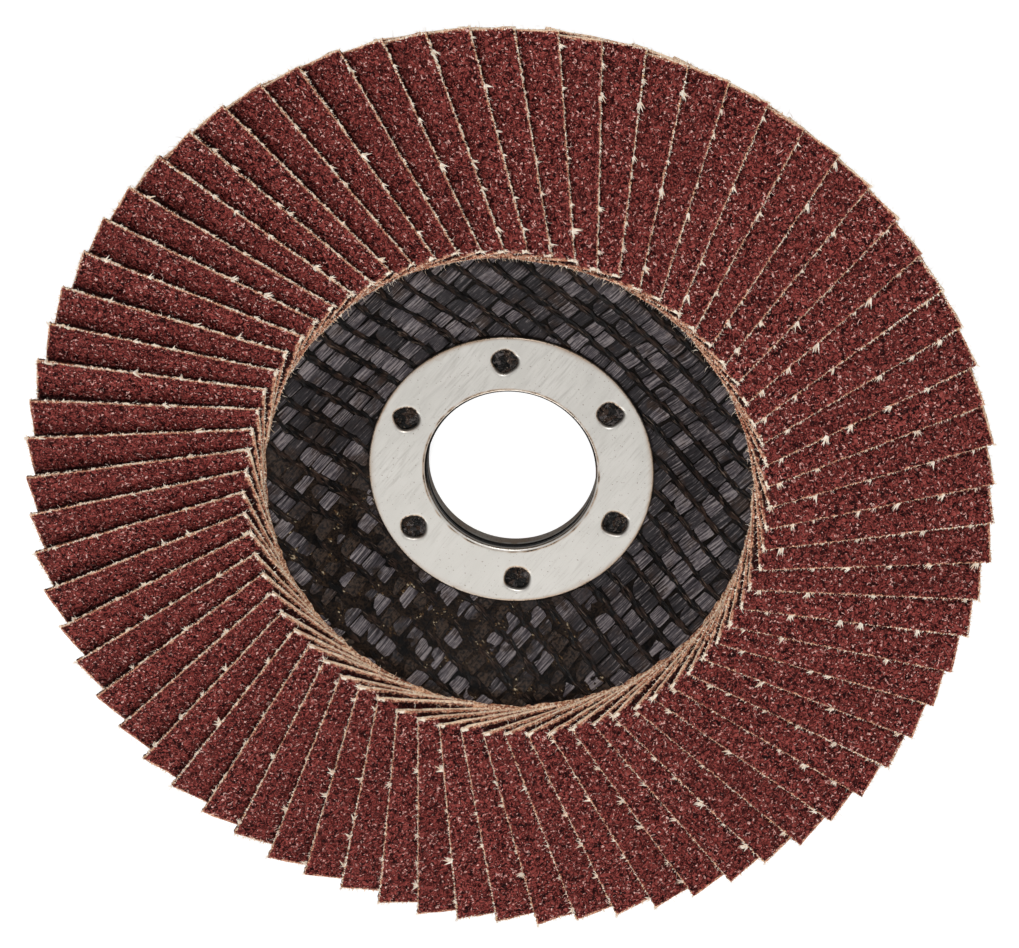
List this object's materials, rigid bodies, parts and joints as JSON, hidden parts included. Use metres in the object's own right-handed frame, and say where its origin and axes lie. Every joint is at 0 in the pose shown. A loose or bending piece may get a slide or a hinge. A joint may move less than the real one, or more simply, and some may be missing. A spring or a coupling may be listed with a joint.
{
  "type": "abrasive flap disc",
  "caption": "Round grinding disc with overlapping abrasive cloth flaps on a dished woven-glass plate, steel hub rings and a central bore.",
  "frame": {"origin": "centre of the bore at the rear ring's outer face, which seats on the grinder's flange and on which the disc rests", "axes": "+Z along the spindle axis, from the grinder's side to the flaps' working face; X and Y span the disc"},
  "size_m": [0.125, 0.125, 0.0132],
  "materials": {
    "plate_laminate": "woven glass in dark resin",
    "ring_steel": "satin, finely scratched",
    "cured_glue": "matt cured resin",
    "abrasive_cloth": "closely coated grit on woven cloth"
  },
  "bodies": {
    "root": {"backing_plate": "plate_laminate", "front_ring": "ring_steel", "rear_ring": "ring_steel", "glue_bed": "cured_glue", "flap_pair_01": "abrasive_cloth", "flap_pair_02": "abrasive_cloth", "flap_pair_03": "abrasive_cloth", "flap_pair_04": "abrasive_cloth", "flap_pair_05": "abrasive_cloth", "flap_pair_06": "abrasive_cloth", "flap_pair_07": "abrasive_cloth", "flap_pair_08": "abrasive_cloth", "flap_pair_09": "abrasive_cloth", "flap_pair_10": "abrasive_cloth", "flap_pair_11": "abrasive_cloth", "flap_pair_12": "abrasive_cloth", "flap_pair_13": "abrasive_cloth", "flap_pair_14": "abrasive_cloth", "flap_pair_15": "abrasive_cloth", "flap_pair_16": "abrasive_cloth", "flap_pair_17": "abrasive_cloth", "flap_pair_18": "abrasive_cloth", "flap_pair_19": "abrasive_cloth", "flap_pair_20": "abrasive_cloth", "flap_pair_21": "abrasive_cloth", "flap_pair_22": "abrasive_cloth", "flap_pair_23": "abrasive_cloth", "flap_pair_24": "abrasive_cloth", "flap_pair_25": "abrasive_cloth", "flap_pair_26": "abrasive_cloth", "flap_pair_27": "abrasive_cloth", "flap_pair_28": "abrasive_cloth", "flap_pair_29": "abrasive_cloth", "flap_pair_30": "abrasive_cloth", "flap_pair_31": "abrasive_cloth", "flap_pair_32": "abrasive_cloth", "flap_pair_33": "abrasive_cloth", "flap_pair_34": "abrasive_cloth", "flap_pair_35": "abrasive_cloth", "flap_pair_36": "abrasive_cloth"}
  },
  "joints": []
}
